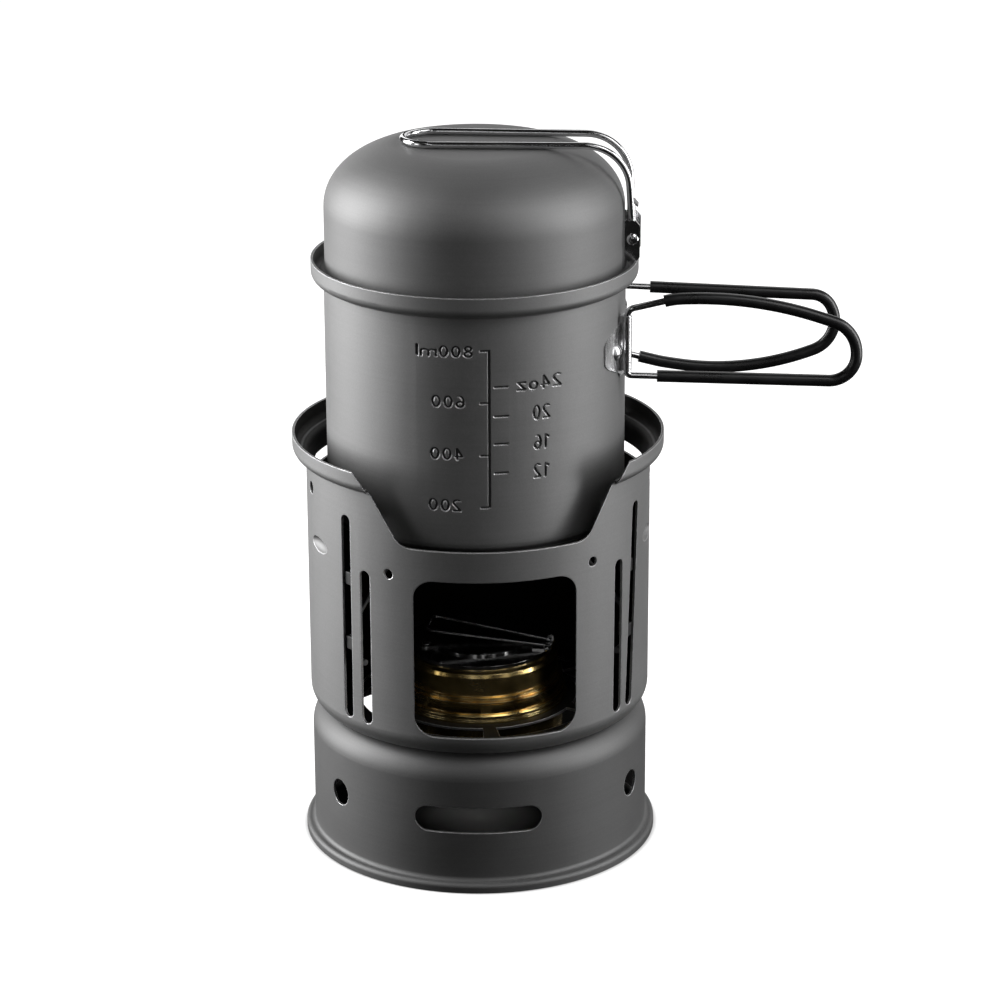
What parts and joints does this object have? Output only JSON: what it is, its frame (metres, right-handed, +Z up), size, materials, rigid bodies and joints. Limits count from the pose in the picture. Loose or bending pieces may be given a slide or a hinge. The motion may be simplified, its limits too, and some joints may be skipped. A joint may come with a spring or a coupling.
{
  "type": "alcohol spirit stove",
  "caption": "Spirit stove set: slotted base, windshield, brass burner with simmer ring, pot with folding wire handles and domed lid with wire bail.",
  "frame": {"origin": "centre of the base's foot, on the surface it stands on", "axes": "+Z up along the stove's axis; +X to the side where the pot handles stick out; +Y to the back, away from the window"},
  "size_m": [0.2193, 0.1427, 0.2831],
  "materials": {
    "anodised": "satin hard-anodised, fine grain",
    "wire": "bright drawn wire",
    "bright_steel": "polished",
    "dark_steel": "dark satin",
    "sheet_steel": "bright sheet",
    "brass": "polished",
    "wick": "woven",
    "sleeve": "semi-gloss tube"
  },
  "bodies": {
    "base": {"base_shell": "anodised"},
    "windshield": {"windshield_shell": "anodised", "support_clips": "anodised"},
    "support_left": {"pot_support_left": "wire"},
    "support_right": {"pot_support_right": "wire"},
    "support_rear": {"pot_support_rear": "wire"},
    "burner": {"burner_tank": "brass", "burner_jet_ring": "brass", "burner_wick": "wick"},
    "simmer_cover": {"simmer_ring": "sheet_steel", "simmer_handle_lug": "sheet_steel", "simmer_shutter_rivet": "sheet_steel"},
    "shutter": {"simmer_shutter": "sheet_steel"},
    "simmer_wire": {"simmer_handle": "wire"},
    "pot": {"pot_shell": "anodised", "pot_bracket": "bright_steel", "pot_bracket_rivets": "bright_steel"},
    "near_handle": {"near_handle_wire": "wire", "near_handle_sleeve": "sleeve"},
    "far_handle": {"far_handle_wire": "wire", "far_handle_sleeve": "sleeve"},
    "lid": {"lid_shell": "anodised", "lid_bracket": "bright_steel", "lid_bracket_rivets": "bright_steel", "lid_stop_tab": "dark_steel"},
    "lid_handle": {"lid_handle_wire": "wire"}
  },
  "joints": [
    {"name": "windshield_lift", "type": "slide", "parent": "base", "child": "windshield", "axis": [0, 0, 1], "range_m": [0, 0.08]},
    {"name": "support_left_fold", "type": "hinge", "parent": "windshield", "child": "support_left", "pos_m": [-0.04771, -0.04206, 0.1307], "axis": [0, 0, 1], "range_deg": [0, 78]},
    {"name": "support_right_fold", "type": "hinge", "parent": "windshield", "child": "support_right", "pos_m": [0.056, -0.03015, 0.1307], "axis": [0, 0, -1], "range_deg": [0, 78]},
    {"name": "support_rear_fold", "type": "hinge", "parent": "windshield", "child": "support_rear", "pos_m": [-0.00621, 0.0633, 0.1307], "axis": [0, 0, 1], "range_deg": [0, 78]},
    {"name": "burner_lift", "type": "slide", "parent": "windshield", "child": "burner", "axis": [0, 0, 1], "range_m": [0, 0.04]},
    {"name": "simmer_ring_lift", "type": "slide", "parent": "burner", "child": "simmer_cover", "axis": [0, 0, 1], "range_m": [0, 0.01]},
    {"name": "shutter_swing", "type": "hinge", "parent": "simmer_cover", "child": "shutter", "pos_m": [-0.02141, -0.00506, 0.078], "axis": [0, 0, -1], "range_deg": [0, 55]},
    {"name": "simmer_handle_fold", "type": "hinge", "parent": "simmer_cover", "child": "simmer_wire", "pos_m": [0.0276, -0.0072, 0.0791], "axis": [0.1495, 0.9888, 0], "range_deg": [0, 110]},
    {"name": "pot_lift", "type": "slide", "parent": "windshield", "child": "pot", "axis": [0, 0, 1], "range_m": [0, 0.12]},
    {"name": "near_handle_fold", "type": "hinge", "parent": "pot", "child": "near_handle", "pos_m": [0.057, -0.0195, 0.2049], "axis": [0, 0, 1], "range_deg": [-105, 0]},
    {"name": "far_handle_fold", "type": "hinge", "parent": "pot", "child": "far_handle", "pos_m": [0.0546, 0.0253, 0.2049], "axis": [0, 0, 1], "range_deg": [0, 110]},
    {"name": "lid_lift", "type": "slide", "parent": "pot", "child": "lid", "axis": [0, 0, 1], "range_m": [0, 0.08]},
    {"name": "lid_handle_fold", "type": "hinge", "parent": "lid", "child": "lid_handle", "pos_m": [0.05955, -0.00423, 0.2453], "axis": [0.0698, 0.9976, 0], "range_deg": [0, 120]}
  ]
}
